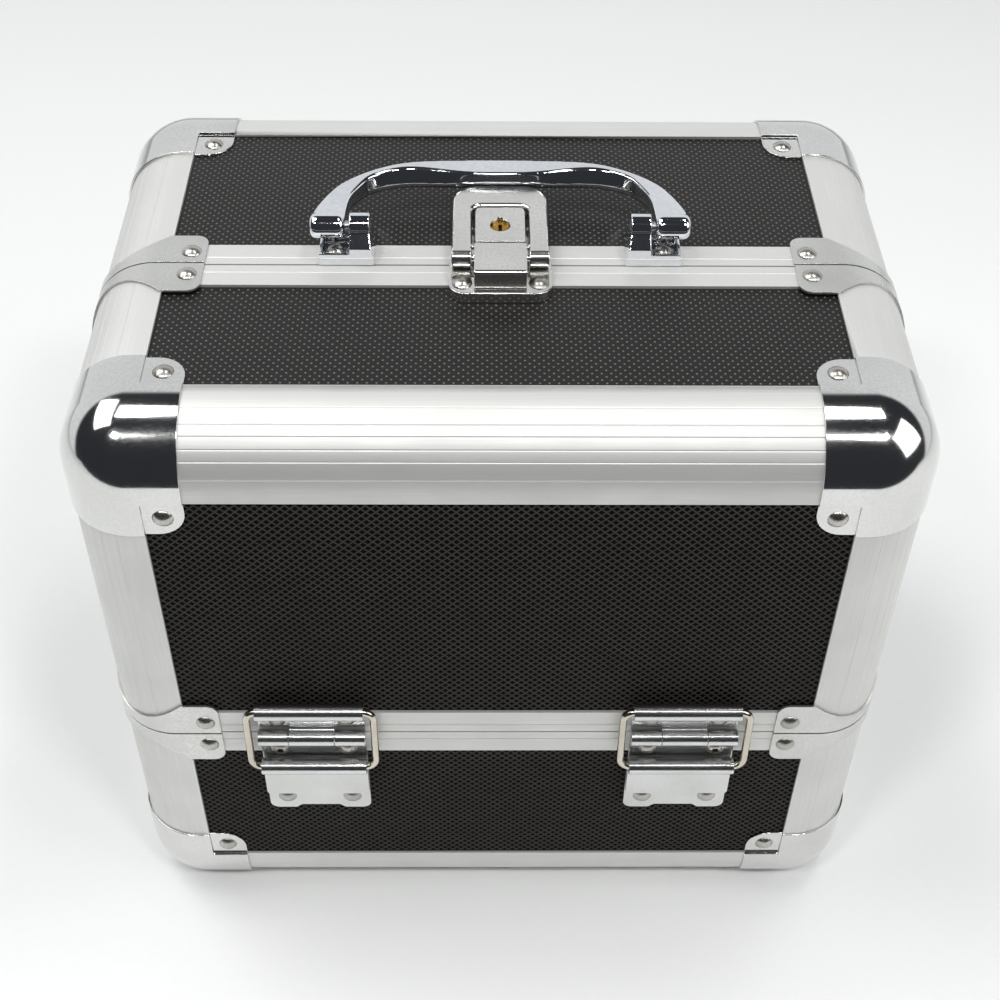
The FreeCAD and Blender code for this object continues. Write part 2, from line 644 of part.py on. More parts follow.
def stud(hand, root_x, head_x, y, z):
    """Pivot stud from a wall inward, with a flat head at its free end."""
    shank = rod(V(hand * root_x, y, z), V(hand * head_x, y, z), STUD_RADIUS)
    head = rod(V(hand * head_x, y, z), V(hand * (head_x - STUD_HEAD_TALL), y, z), STUD_HEAD)
    return shank.fuse(head).removeSplitter()


def tray_arm(side, hand):
    """Flat strip from the base to both trays, with a pin for each tray."""
    start = linkage_point(side, ARM_OFFSET)
    upper = TRAY_PIVOTS["upper"]
    finish = linkage_point(side, (upper[0] + ARM_OFFSET[0], upper[1] + ARM_OFFSET[1]))
    low = V(hand * ARM_X[0], start[0], start[1])
    high = V(hand * ARM_X[0], finish[0], finish[1])
    along = (high - low).normalize()
    across = X_AXIS.cross(along) * ARM_HALF
    strip = prism(outline(
        low + across, (low - along * ARM_HALF, low - across), high - across,
        (high + along * ARM_HALF, high + across)), X_AXIS * (hand * (ARM_X[1] - ARM_X[0])))
    strip = strip.cut(rod(V(0, *start), V(hand * HALF_W, *start), STUD_RADIUS + STUD_ROOM))
    pieces = []
    for pivot in TRAY_PIVOTS.values():
        y, z = linkage_point(side, (pivot[0] + ARM_OFFSET[0], pivot[1] + ARM_OFFSET[1]))
        pin = rod(V(hand * ARM_X[1], y, z), V(hand * (TRAY_HALF - TRAY_WALL), y, z), ARM_PIN_RADIUS)
        strip = strip.cut(pin)
        pieces.append(pin)
    return [strip] + pieces


def build_trays(side, name):
    """Two trays of one lid, the arms that keep them level and the pivot studs."""
    base_stud = linkage_point(side, ARM_OFFSET)
    for level, pivot in TRAY_PIVOTS.items():
        add("%s_%s_tray" % (name, level), tray(side, level))
        y, z = linkage_point(side, pivot)
        for hand in (-1, 1):
            head_x = TRAY_HALF - TRAY_WALL - STUD_END_ROOM
            add(name + "_lid_tray_studs", stud(hand, STUD_ROOTS[level], head_x, y, z))
    for hand in (-1, 1):
        add(name + "_tray_arms", *tray_arm(side, hand))
        add("tray_arm_studs", stud(hand, HALF_W - WALL, ARM_X[0] - STUD_END_ROOM, *base_stud))


def handle_section(station, hand):
    """Closed section of the bow: flat top, straight outer side and rounded underside."""
    outer, inner, under = [V(hand * x, y, 0) for x, y in station]
    lowest = (outer + under) * 0.5
    return outline(
        inner + Z_AXIS * HANDLE_TOP, outer + Z_AXIS * HANDLE_TOP, outer + Z_AXIS * HANDLE_SIDE,
        (lowest + Z_AXIS * HANDLE_BOTTOM, under + Z_AXIS * HANDLE_SIDE))


def build_handle():
    """Bow handle with barrel ends, pivoted on two riveted posts."""
    left = [handle_section(station, -1) for station in HANDLE_STATIONS]
    right = [handle_section(station, 1) for station in reversed(HANDLE_STATIONS[:-1])]
    bow = Part.makeLoft(left + right, True)
    for hand in (-1, 1):
        ends = [V(hand * x, HANDLE_Y, HANDLE_Z) for x in BARREL_X]
        barrel = rod(ends[0], ends[1], BARREL_RADIUS)
        rims = [edge for edge in barrel.Edges if edge.BoundBox.XLength < OVERRUN]
        bow = bow.fuse(barrel.makeFillet(BARREL_ROUND, rims))
    for hand in (-1, 1):
        pin_end = V(hand * HANDLE_PIN_END, HANDLE_Y, HANDLE_Z)
        bow = bow.cut(rod(V(0, HANDLE_Y, HANDLE_Z), pin_end, HANDLE_PIN + PIN_ROOM))
    add("handle", bow.removeSplitter())
    for hand in (-1, 1):
        build_handle_post(hand)


def build_handle_post(hand):
    """One riveted post, tapered up its inner side, with the pin that carries a barrel of the handle."""
    def at(y, z):
        return V(hand * POST_FLANGE_X[0], y, z)

    top = V(hand * POST_X[0], HANDLE_Y, HANDLE_Z)
    front, rear = POST_FOOT
    ankle = CASE_TOP + POST_FOOT_TALL
    crown = HANDLE_Z + POST_ROUND
    upright = prism(outline(
        at(front, CASE_TOP), at(front, CASE_TOP + POST_SHIN), at(HANDLE_Y - POST_ROUND, HANDLE_Z),
        (at(HANDLE_Y, crown), at(HANDLE_Y + POST_ROUND, HANDLE_Z)), at(rear, ankle),
        at(rear, CASE_TOP)), X_AXIS * (hand * (POST_X[1] - POST_FLANGE_X[0])))
    taper = prism(outline(
        at(front, CASE_TOP), V(hand * POST_X[0], front, HANDLE_Z), V(hand * POST_X[0], front, crown),
        at(front, crown)), Y_AXIS * (HANDLE_Y + POST_ROUND - front))
    foot = box([hand * x for x in POST_FLANGE_X], POST_FOOT, (CASE_TOP, ankle))
    wall = POST_POCKET_WALL
    floor = CASE_TOP + POST_POCKET_FLOOR
    pocket_x = (hand * POST_X[1], hand * (POST_FLANGE_X[1] - wall))
    foot = foot.cut(box(pocket_x, (front + wall, rear - wall), (floor, ankle)))
    pin = rod(top, V(hand * HANDLE_PIN_END, HANDLE_Y, HANDLE_Z), HANDLE_PIN)
    add("handle_posts", upright.fuse(foot).cut(taper).cut(pin).removeSplitter())
    add("handle_pins", pin)
    seat = V(hand * POST_RIVET[0], POST_RIVET[1], floor)
    rivet("rear_lid", seat, Z_AXIS, WALL + POST_POCKET_FLOOR)


def lock_lever():
    """U-shaped lever whose two legs end in rounded noses on the lock's axle."""
    nose = LEVER_AXIS_Y
    planform = outline(
        V(-LEVER_HALF, nose, LEVER_UNDER), V(-LEVER_GAP_HALF, nose, LEVER_UNDER),
        *corner_arc(V(-LEVER_GAP_HALF, LEVER_GAP_REAR, LEVER_UNDER), -Y_AXIS, X_AXIS, LEVER_GAP_ROUND),
        *corner_arc(V(LEVER_GAP_HALF, LEVER_GAP_REAR, LEVER_UNDER), -X_AXIS, -Y_AXIS, LEVER_GAP_ROUND),
        V(LEVER_GAP_HALF, nose, LEVER_UNDER), V(LEVER_HALF, nose, LEVER_UNDER),
        *corner_arc(V(LEVER_HALF, LEVER_REAR, LEVER_UNDER), -Y_AXIS, -X_AXIS, LEVER_REAR_ROUND),
        *corner_arc(V(-LEVER_HALF, LEVER_REAR, LEVER_UNDER), X_AXIS, -Y_AXIS, LEVER_REAR_ROUND))
    lever = prism(planform, Z_AXIS * (LEVER_TOP - LEVER_UNDER))
    rims = [edge for edge in lever.Edges
            if edge.BoundBox.ZMin > LEVER_TOP - OVERRUN and edge.BoundBox.YMax > nose + OVERRUN]
    lever = lever.makeFillet(LEVER_EDGE_ROUND, rims)
    for hand in (-1, 1):
        ends = [V(hand * x, nose, LEVER_AXIS_Z) for x in (LEVER_GAP_HALF, LEVER_HALF)]
        lever = lever.fuse(rod(ends[0], ends[1], LEVER_NOSE))
    axle_ends = [V(x, nose, LEVER_AXIS_Z) for x in (-AXLE_HALF, AXLE_HALF)]
    lever = lever.cut(rod(*axle_ends, AXLE_RADIUS + PIN_ROOM))
    pin_ends = [V(x, CLAW_PIN_Y, CLAW_PIN_Z) for x in (-AXLE_HALF, AXLE_HALF)]
    pin = rod(*pin_ends, CLAW_PIN_RADIUS)
    return [lever.cut(pin).removeSplitter(), pin]


def lock_claw():
    """Flap that turns on the lever's pin and hooks down in front of the keeper."""
    def at(y, z):
        return V(-CLAW_HALF, y, z)

    under, top = CLAW_Z
    back = CLAW_PIN_Y
    bend = corner_arc(at(CLAW_FRONT, top), Y_AXIS, -Z_AXIS, CLAW_ROUND)
    flap = prism(outline(
        at(back, under), at(back, top), *bend, at(CLAW_FRONT, CLAW_FOOT),
        at(CLAW_FRONT + CLAW_LIP, CLAW_FOOT), at(CLAW_FRONT + CLAW_LIP, under)), X_AXIS * (2 * CLAW_HALF))
    ends = [V(x, CLAW_PIN_Y, CLAW_PIN_Z) for x in (-CLAW_HALF, CLAW_HALF)]
    flap = flap.fuse(rod(ends[0], ends[1], CLAW_CURL))
    return flap.cut(rod(ends[0], ends[1], CLAW_PIN_RADIUS + PIN_ROOM)).removeSplitter()


def lock_housing():
    """Key housing on the rear half, with a tongue that carries the lever's axle."""
    seat_y = SEAM_Y + SEAM_GAP / 2 + CHANNEL_FACE + SKIRT_ROOM
    block = box((-HOUSING_HALF, HOUSING_HALF), HOUSING_Y, (CASE_TOP, HOUSING_TOP))
    rear = [edge for edge in block.Edges
            if edge.BoundBox.YMin > HOUSING_Y[1] - OVERRUN and edge.BoundBox.ZLength > OVERRUN]
    block = block.makeFillet(HOUSING_CORNER, rear)
    front, boss = TONGUE_Y
    under, neck, top = TONGUE_Z
    root = HOUSING_Y[0]
    profile = ((root, under), (front, under), (front, top), (boss, top), (boss, neck), (root, neck))
    tongue = outline(*[V(-HOUSING_HALF, y, z) for y, z in profile])
    block = block.fuse(prism(tongue, X_AXIS * (2 * HOUSING_HALF)))
    base_x = (-LOCK_BASE_HALF, LOCK_BASE_HALF)
    block = block.fuse(box(base_x, (root, LOCK_BASE_REAR), (CASE_TOP, CASE_TOP + LOCK_BASE_TALL)))
    block = block.fuse(box(base_x, (seat_y, LOCK_BASE_REAR), (CASE_TOP - FLANGE, CASE_TOP)))
    axle = rod(*[V(x, LEVER_AXIS_Y, LEVER_AXIS_Z) for x in (-AXLE_HALF, AXLE_HALF)], AXLE_RADIUS)
    bore = rod(V(0, PLUG_Y, PLUG_Z[0]), V(0, PLUG_Y, HOUSING_TOP), PLUG_RADIUS + PIN_ROOM)
    wide, long, deep = KEYWAY
    keyway_y = (PLUG_Y, PLUG_Y + PLUG_RADIUS + long)
    keyway = box((-wide / 2, wide / 2), keyway_y, (PLUG_Z[1] - deep, HOUSING_TOP))
    block = block.cut(axle).cut(bore).cut(keyway)
    return [block.removeSplitter(), axle]


def key_plug():
    """Round lock plug with a key slot across its face."""
    plug = rod(V(0, PLUG_Y, PLUG_Z[0]), V(0, PLUG_Y, PLUG_Z[1]), PLUG_RADIUS)
    wide, long, deep = KEY_SLOT
    slot_y = (PLUG_Y - long / 2, PLUG_Y + long / 2)
    slot = box((-wide / 2, wide / 2), slot_y, (PLUG_Z[1] - deep, PLUG_Z[1]))
    return plug.cut(slot)


def lock_keeper():
    """Plate on the front half, notched for the housing's tongue, with a hook for the claw."""
    front, rear = KEEPER_Y
    half = KEEPER_HALF
    notch = KEEPER_NOTCH_HALF
    plate = prism(outline(
        V(-half, rear, CASE_TOP),
        *corner_arc(V(-half, front, CASE_TOP), Y_AXIS, X_AXIS, KEEPER_CORNER),
        *corner_arc(V(half, front, CASE_TOP), -X_AXIS, Y_AXIS, KEEPER_CORNER),
        V(half, rear, CASE_TOP), V(notch, rear, CASE_TOP), V(notch, KEEPER_NOTCH_FRONT, CASE_TOP),
        V(-notch, KEEPER_NOTCH_FRONT, CASE_TOP), V(-notch, rear, CASE_TOP)), Z_AXIS * KEEPER_TALL)
    seat_y = SEAM_Y - SEAM_GAP / 2 - CHANNEL_FACE - SKIRT_ROOM
    skirt = plate.common(box((-half, half), (front, seat_y), (CASE_TOP, CASE_TOP + FLANGE)))
    skirt.translate(V(0, 0, -FLANGE))
    hook = box((-HOOK_HALF, HOOK_HALF), HOOK_Y, (CASE_TOP, HOOK_TOP))
    for hand in (-1, 1):
        seat = V(hand * KEEPER_RIVET[0], KEEPER_RIVET[1], CASE_TOP + KEEPER_TALL)
        rivet("front_lid", seat, Z_AXIS, WALL - INNER_LEG + KEEPER_TALL)
        seat = V(hand * LOCK_BASE_RIVET[0], LOCK_BASE_RIVET[1], CASE_TOP + LOCK_BASE_TALL)
        rivet("rear_lid", seat, Z_AXIS, WALL - INNER_LEG + LOCK_BASE_TALL)
    return plate.fuse(skirt).fuse(hook).removeSplitter()


def build_lock():
    """Key lock that joins the two halves of the top."""
    add("lock_keeper", lock_keeper())
    add("lock_housing", *lock_housing())
    add("lock_lever", *lock_lever())
    add("lock_claw", lock_claw())
    add("key_plug", key_plug())


def riveted_nodes():
    """Nodes on each body that its rivets pass through."""
    frame = ("_corner_posts", "_rim_channels", "_side_panels", "_ball_corners", "_seam_brackets")
    lid = frame + ("_wall_panel", "_top_panel", "_top_edges", "_seam_channels")
    base = frame + ("_front_panel", "_rear_panel", "_bottom_panel", "_bottom_rails")
    return {
        "base": ["base" + name for name in base] + ["hinge_lower_leaves"],
        "front_lid": ["front_lid" + name for name in lid] + ["front_hinge_upper_leaves", "lock_keeper"],
        "rear_lid": ["rear_lid" + name for name in lid] + [
            "rear_hinge_upper_leaves", "handle_posts", "lock_housing"],
    }


def main():
    """Build every node and write one file for each."""
    build_base()
    for side, name in ((FRONT, "front"), (REAR, "rear")):
        build_lid(side, name + "_lid")
        build_hinges(side, name)
        build_trays(side, name)
    build_handle()
    build_lock()
    finish_rivets(riveted_nodes())
    os.makedirs("parts", exist_ok=True)
    for node, solids in nodes.items():
        shape = solids[0] if len(solids) == 1 else Part.makeCompound(solids)
        shape.exportStep("parts/%s.step" % node)
        print(node, len(solids), round(shape.Volume), shape.isValid())


main()
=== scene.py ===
"""Looks of a makeup train case with a split top, built round its fixed frame of solids.

Lengths are in millimetres where no docstring says metres, and the scene itself is in metres.
"""

import json
import logging
import math
from dataclasses import dataclass, field
from enum import Enum
from typing import Any, Callable, ClassVar

import bmesh
import bpy
from mathutils import Matrix, Vector

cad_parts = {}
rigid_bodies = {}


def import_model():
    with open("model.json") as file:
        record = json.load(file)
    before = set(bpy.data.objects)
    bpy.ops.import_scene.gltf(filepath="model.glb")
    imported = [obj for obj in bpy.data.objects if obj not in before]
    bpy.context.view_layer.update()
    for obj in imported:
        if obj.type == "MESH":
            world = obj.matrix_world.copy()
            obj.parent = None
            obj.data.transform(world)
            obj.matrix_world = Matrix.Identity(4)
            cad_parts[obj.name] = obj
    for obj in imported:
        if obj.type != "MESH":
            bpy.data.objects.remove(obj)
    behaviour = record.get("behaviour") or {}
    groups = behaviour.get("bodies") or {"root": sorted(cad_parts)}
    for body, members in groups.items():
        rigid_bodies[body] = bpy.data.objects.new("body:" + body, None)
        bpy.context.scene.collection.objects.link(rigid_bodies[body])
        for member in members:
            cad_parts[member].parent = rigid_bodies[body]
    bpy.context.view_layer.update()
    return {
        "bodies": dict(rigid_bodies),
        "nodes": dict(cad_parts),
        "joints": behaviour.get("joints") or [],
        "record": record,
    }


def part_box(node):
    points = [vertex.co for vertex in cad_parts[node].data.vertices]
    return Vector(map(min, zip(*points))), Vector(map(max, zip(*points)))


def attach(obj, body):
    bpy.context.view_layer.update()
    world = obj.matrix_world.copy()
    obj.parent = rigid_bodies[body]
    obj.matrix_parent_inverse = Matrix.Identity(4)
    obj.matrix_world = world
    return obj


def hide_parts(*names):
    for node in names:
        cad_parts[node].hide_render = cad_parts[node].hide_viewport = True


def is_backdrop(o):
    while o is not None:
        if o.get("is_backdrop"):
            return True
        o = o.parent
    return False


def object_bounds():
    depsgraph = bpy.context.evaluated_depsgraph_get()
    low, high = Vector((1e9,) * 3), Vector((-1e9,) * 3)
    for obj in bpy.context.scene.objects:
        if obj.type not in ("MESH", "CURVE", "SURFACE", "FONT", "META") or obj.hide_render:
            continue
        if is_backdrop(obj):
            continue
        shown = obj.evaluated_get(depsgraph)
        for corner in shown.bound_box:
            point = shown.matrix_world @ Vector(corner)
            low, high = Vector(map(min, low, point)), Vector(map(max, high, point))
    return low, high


LOG = logging.getLogger("train_case")
MM = 0.001
# Points that lie closer than this, in metres, count as one
TOUCH = 1e-5
# Range that most values of a noise pattern lie in
NOISE_RANGE = (0.3, 0.7)
# Curve of the sRGB standard
SRGB_TOE = 0.04045
SRGB_SLOPE = 12.92
SRGB_OFFSET = 0.055
SRGB_POWER = 2.4
# Bodies that make up the shell, and the sides that its top opens to
SHELL_BODIES = ("base", "front_lid", "rear_lid")
OPENING_SIDES = ("front", "rear")

Tree = bpy.types.NodeTree
Socket = bpy.types.NodeSocket
Piece = bpy.types.Object


class Plane(Enum):
    """Plane that a panel lies in: the two axes along it, then the axis through it."""

    FRONT = (0, 2, 1)
    SIDE = (1, 2, 0)
    TOP = (0, 1, 2)


class Run(Enum):
    """Direction that a length of metal was drawn in, as the stretch of its die lines."""

    ALONG_X = (0.02, 1.0, 1.0)
    ALONG_Y = (1.0, 0.02, 1.0)
    ALONG_Z = (1.0, 1.0, 0.02)
    NONE = (1.0, 1.0, 1.0)


class Relief(Enum):
    """What shows of a rolled net: its lines, or the points where two lines cross."""

    LINES = "MAXIMUM"
    POINTS = "MULTIPLY"


class Curve(Enum):
    """How a value goes from one end of a range to the other."""

    EVEN = "LINEAR"
    EASED = "SMOOTHSTEP"


class Element(Enum):
    """Kind of mesh element to pick, with its name as a selection mode."""

    VERTS = "VERT"
    EDGES = "EDGE"
    FACES = "FACE"


def srgb(code: str) -> tuple[float, float, float, float]:
    """Turn an sRGB hex value into a linear colour.

    Args:
        code: Colour such as "#1a2b3c".

    Returns:
        Linear red, green and blue with full alpha.
    """
    channels = [int(code[start:start + 2], 16) / 255 for start in (1, 3, 5)]
    red, green, blue = [
        c / SRGB_SLOPE if c <= SRGB_TOE else ((c + SRGB_OFFSET) / (1 + SRGB_OFFSET)) ** SRGB_POWER
        for c in channels]
    return (red, green, blue, 1.0)


def add_node(tree: Tree, kind: str, settings: dict[str, Any] | None = None,
             inputs: dict[Any, Any] | None = None) -> bpy.types.Node:
    """Add a node with its settings, and fill or link its inputs.

    Args:
        tree: Node tree that gets the node.
        kind: Node type, such as "ShaderNodeMath".
        settings: Properties of the node.
        inputs: Socket name or number to a value, or to the output that feeds it.

    Returns:
        The new node.
    """
    node = tree.nodes.new(kind)
    for name, value in (settings or {}).items():
        setattr(node, name, value)
    for socket, value in (inputs or {}).items():
        if isinstance(value, bpy.types.NodeSocket):
            tree.links.new(value, node.inputs[socket])
        else:
            node.inputs[socket].default_value = value
    return node


def combine(tree: Tree, operation: str, first: Any, second: Any) -> Socket:
    """Combine two numbers.

    Args:
        tree: Node tree to add to.
        operation: Name of the operation, such as "ADD".
        first: A value, or the output that gives it.
        second: A value, or the output that gives it.

    Returns:
        Output with the result.
    """
    return add_node(tree, "ShaderNodeMath", {"operation": operation}, {0: first, 1: second}).outputs[0]


def spread(tree: Tree, value: Socket, source: tuple[float, float] = (0.0, 1.0),
           target: tuple[float, float] = (0.0, 1.0), curve: Curve = Curve.EVEN) -> Socket:
    """Map one range of a value to another, and hold it there.

    Args:
        tree: Node tree to add to.
        value: Output that gives the value.
        source: Ends of the value's own range.
        target: What these ends become.
        curve: How it goes from one end to the other.

    Returns:
        Output with the new value.
    """
    return add_node(tree, "ShaderNodeMapRange", {"interpolation_type": curve.value}, {
        "Value": value, "From Min": source[0], "From Max": source[1],
        "To Min": target[0], "To Max": target[1]}).outputs[0]


def noise(tree: Tree, place: Socket, size: float, detail: float, roughness: float = 0.5) -> Socket:
    """Add a cloudy pattern.

    Args:
        tree: Node tree to add to.
        place: Coordinates of the pattern.
        size: Size of its largest clouds.
        detail: How many finer layers lie in it.
        roughness: How strong the finer layers are.

    Returns:
        Output with the pattern.
    """
    return add_node(tree, "ShaderNodeTexNoise", inputs={
        "Vector": place, "Scale": 1 / (size * MM), "Detail": detail, "Roughness": roughness}).outputs[0]


def blend(tree: Tree, share: Socket, low: str, high: str) -> Socket:
    """Mix two colours.

    Args:
        tree: Node tree to add to.
        share: Output that gives the share of the second colour.
        low: First colour, as an sRGB hex value.
        high: Second colour, as an sRGB hex value.

    Returns:
        Output with the colour.
    """
    return add_node(tree, "ShaderNodeMix", {"data_type": "RGBA"},
                    {0: share, 6: srgb(low), 7: srgb(high)}).outputs[2]


def lift(tree: Tree, height: Socket, strength: float, raised: float) -> Socket:
    """Raise a pattern from the surface.

    Args:
        tree: Node tree to add to.
        height: Output that gives the pattern.
        strength: How much of it the surface takes.
        raised: Height of the pattern's highest places.

    Returns:
        Output with the surface's direction.
    """
    return add_node(tree, "ShaderNodeBump", inputs={
        "Strength": strength, "Distance": raised * MM, "Height": height}).outputs[0]


@dataclass(frozen=True)
class Finish:
    """A surface as it was made: the name of its material and the record slot it belongs to."""

    name: str
    slot: str

    def material(self) -> bpy.types.Material:
        """Give the finish's material, made at its first use."""
        return bpy.data.materials.get(self.name) or self.make()

    def make(self) -> bpy.types.Material:
        """Make the material with a shader fed by the finish's own pattern.

        Returns:
            The new material.
        """
        material = bpy.data.materials.new(self.name)
        material.use_nodes = True
        tree = material.node_tree
        tree.nodes.clear()
        shader = add_node(tree, "ShaderNodeBsdfPrincipled")
        add_node(tree, "ShaderNodeOutputMaterial", inputs={"Surface": shader.outputs["BSDF"]})
        place = add_node(tree, "ShaderNodeTexCoord").outputs["Object"]
        for socket, output in self.paint(tree, shader, place).items():
            tree.links.new(output, shader.inputs[socket])
        return material

    def paint(self, tree: Tree, shader: bpy.types.Node, place: Socket) -> dict[str, Socket]:
        """Draw the pattern; each finish has its own way."""
        raise NotImplementedError


@dataclass(frozen=True)
class EmbossedAbs(Finish):
    """Black ABS sheet with a rolled diamond net: raised lines painted lighter as a highlight round dark
    cells.

    The lines show most on upright boards, and on level ones the points where they cross.
    """

    plane: Plane = Plane.FRONT
    pitch: tuple[float, float] = (2.88, 2.72)
    ridge: float = 0.24
    relief: Relief = Relief.LINES
    cell: str = "#060606"
    # Colour of the raised lines: a painted highlight, lighter than the sheet's own black
    line: str = "#4c4946"
    gloss: float = 0.02
    rough: tuple[float, float] = (0.4, 0.52)
    mottle: float = 7.0
    raised: float = 0.3
    half_step: ClassVar[float] = 0.5
    mottle_detail: ClassVar[float] = 5.0
    mottle_roughness: ClassVar[float] = 0.72
    mottle_range: ClassVar[tuple[float, float]] = (0.38, 0.62)
    shades: ClassVar[tuple[float, float]] = (0.86, 1.1)
    strength: ClassVar[float] = 0.6
    ior: ClassVar[float] = 1.53

    def paint(self, tree: Tree, shader: bpy.types.Node, place: Socket) -> dict[str, Socket]:
        """Draw two families of slanted ridges, paint them lighter as a highlight, and lift them.

        Args:
            tree: The material's nodes.
            shader: Shader that gets the gloss.
            place: Object coordinates.

        Returns:
            The shader's sockets and the outputs that feed them.
        """
        axes = add_node(tree, "ShaderNodeSeparateXYZ", inputs={0: place}).outputs
        steps = [combine(tree, "DIVIDE", axes[axis], pitch * MM)
                 for axis, pitch in zip(self.plane.value, self.pitch)]
        ridges = []
        for operation in ("ADD", "SUBTRACT"):
            slant = combine(tree, operation, steps[0], steps[1])
            away = combine(tree, "PINGPONG", slant, self.half_step)
            ridges.append(spread(tree, away, (0.0, self.ridge), (1.0, 0.0), Curve.EASED))
        lit = combine(tree, self.relief.value, ridges[0], ridges[1])
        mottle = noise(tree, place, self.mottle, self.mottle_detail, self.mottle_roughness)
        # Share of the painted highlight colour: the ridges, varied by the mottle
        highlight_share = combine(tree, "MULTIPLY", lit, spread(tree, mottle, self.mottle_range, self.shades))
        shader.inputs["Specular IOR Level"].default_value = self.gloss
        shader.inputs["IOR"].default_value = self.ior
        return {"Base Color": blend(tree, highlight_share, self.cell, self.line),
                "Roughness": spread(tree, mottle, NOISE_RANGE, self.rough),
                "Normal": lift(tree, lit, self.strength, self.raised)}


@dataclass(frozen=True)
class MottledPlastic(Finish):
    """Moulded or laid plastic, felt and paper: one colour with a fine grain and a change of shade."""

    colour: str = "#202022"
    deep: str = "#161618"
    grain: float = 0.7
    raised: float = 0.05
    rough: tuple[float, float] = (0.5, 0.65)
    detail: ClassVar[float] = 3.0
    strength: ClassVar[float] = 0.5

    def paint(self, tree: Tree, shader: bpy.types.Node, place: Socket) -> dict[str, Socket]:
        """Mix two near shades over a fine grain.

        Args:
            tree: The material's nodes.
            shader: Shader, which keeps its own settings.
            place: Object coordinates.

        Returns:
            The shader's sockets and the outputs that feed them.
        """
        grain = noise(tree, place, self.grain, self.detail)
        return {"Base Color": blend(tree, grain, self.deep, self.colour),
                "Roughness": spread(tree, grain, NOISE_RANGE, self.rough),
                "Normal": lift(tree, grain, self.strength, self.raised)}


@dataclass(frozen=True)
class Metal(Finish):
    """A metal surface: die lines or a fine grain, a slow change of tone, and small scuffs."""

    colour: str = "#d9d8d4"
    dull: str = "#c4c3bf"
    rough: tuple[float, float] = (0.28, 0.42)
    run: Run = Run.NONE
    grain: float = 0.5
    tone: float = 22.0
    raised: float = 0.01
    metal: float = 1.0
    grain_detail: ClassVar[float] = 4.0
    tone_detail: ClassVar[float] = 3.0
    worn_range: ClassVar[tuple[float, float]] = (0.12, 0.4)
    strength: ClassVar[float] = 0.3

    def paint(self, tree: Tree, shader: bpy.types.Node, place: Socket) -> dict[str, Socket]:
        """Lay the grain along the run, and let tone and gloss follow it.

        Args:
            tree: The material's nodes.
            shader: Shader that is made a metal.
            place: Object coordinates.

        Returns:
            The shader's sockets and the outputs that feed them.
        """
        drawn = add_node(tree, "ShaderNodeMapping", inputs={
            "Vector": place, "Scale": self.run.value}).outputs[0]
        grain = noise(tree, drawn, self.grain, self.grain_detail)
        tone = noise(tree, place, self.tone, self.tone_detail)
        worn = spread(tree, combine(tree, "MULTIPLY", grain, tone), self.worn_range)
        shader.inputs["Metallic"].default_value = self.metal
        return {"Base Color": blend(tree, worn, self.dull, self.colour),
                "Roughness": spread(tree, worn, target=(self.rough[1], self.rough[0])),
                "Normal": lift(tree, grain, self.strength, self.raised)}


# Satin anodised aluminium: pale and soft, with faint die lines along each length
ALUMINIUM = {run: Metal("anodised_aluminium_" + run.name.lower(), "aluminium", "#dfdfdc", "#d8d8d5",
                        (0.46, 0.55), run, raised=0.004, metal=0.62)
             for run in (Run.ALONG_X, Run.ALONG_Y, Run.ALONG_Z)}
# Plated pressings: bright, with the slight haze that pressing leaves under the plating
PRESSED = Metal("plated_pressed_steel", "pressed_steel", "#dcdcdb", "#cfcfcd", (0.07, 0.14), grain=0.9)
# Brackets bent from plated strip: the bend has dulled the plating
DULLED = Metal("plated_bent_strip", "pressed_steel", "#d8d8d6", "#c9c9c6", (0.26, 0.36),
               grain=0.8, metal=0.9)
# Polished chrome over a casting: a clear dark mirror
CHROME = Metal("polished_chrome", "chrome", "#e4e6ea", "#d8dade", (0.03, 0.07), grain=1.5, raised=0.004)
# Zinc plated hinge plate: bright and slightly clouded by the plating bath
HINGE = Metal("zinc_plated_hinge_steel", "chrome", "#dedede", "#cbccca", (0.16, 0.26),
              grain=0.6, raised=0.004)
# Lock castings: plated over a brushed face, so the mirror is soft
SATIN = Metal("satin_chrome", "chrome", "#dcdbd8", "#cecdca", (0.15, 0.22), grain=0.8, raised=0.004)
# Nickel plated wire: warmer than chrome
NICKEL = Metal("nickel_plated_wire", "nickel", "#d6d0c4", "#bdb6a8", (0.1, 0.2), grain=0.5)
# Plated rivet heads: set by a tool, so a little dull
RIVET = Metal("plated_rivet_steel", "rivet", "#c2bfb9", "#a7a49e", (0.24, 0.34), grain=0.5)
# Zinc plated strip and pins of the tray linkage, the hinges and the handle
STEEL = Metal("zinc_plated_strip_steel", "steel", "#b9babb", "#9c9d9e", (0.25, 0.4), grain=0.5)
# Turned brass of the lock plug
BRASS = Metal("turned_brass", "brass", "#c89c48", "#7d5c22", (0.2, 0.34), grain=0.3)
# Vacuum formed tray plastic, black and faintly grained
TRAY = MottledPlastic("black_tray_plastic", "tray")
# Felt glued inside the boards: dark, matt and fibrous
LINING = MottledPlastic("black_felt_lining", "panel", "#1c1c1e", "#0e0e10", 0.5, 0.15, (0.85, 0.95))
# Matt paper under the case
PAPER = MottledPlastic("studio_paper", "panel", "#f3f4f3", "#f0f1f0", 3.0, 0.02, (0.75, 0.85))
# Embossed ABS sheet over board, with painted highlights on its raised lines
ABS = {plane: EmbossedAbs("embossed_abs_" + plane.name.lower(), "panel", plane=plane) for plane in Plane}
# The level boards get a lit copy of the sheet: cells and points painted lighter, as lit from above. It
# also shines more, and shows its points
ABS[Plane.TOP] = EmbossedAbs("embossed_abs_top", "panel", Plane.TOP, (2.75, 2.9), 0.23, Relief.POINTS,
                             "#171615", "#837d7a", 0.27)


def select_only(*pieces: Piece) -> None:
    """Leave object mode's selection on these pieces alone.

    Args:
        pieces: What to select, with the piece that becomes active first.
    """
    bpy.ops.object.select_all(action="DESELECT")
    for piece in pieces:
        piece.select_set(True)
    bpy.context.view_layer.objects.active = pieces[0]


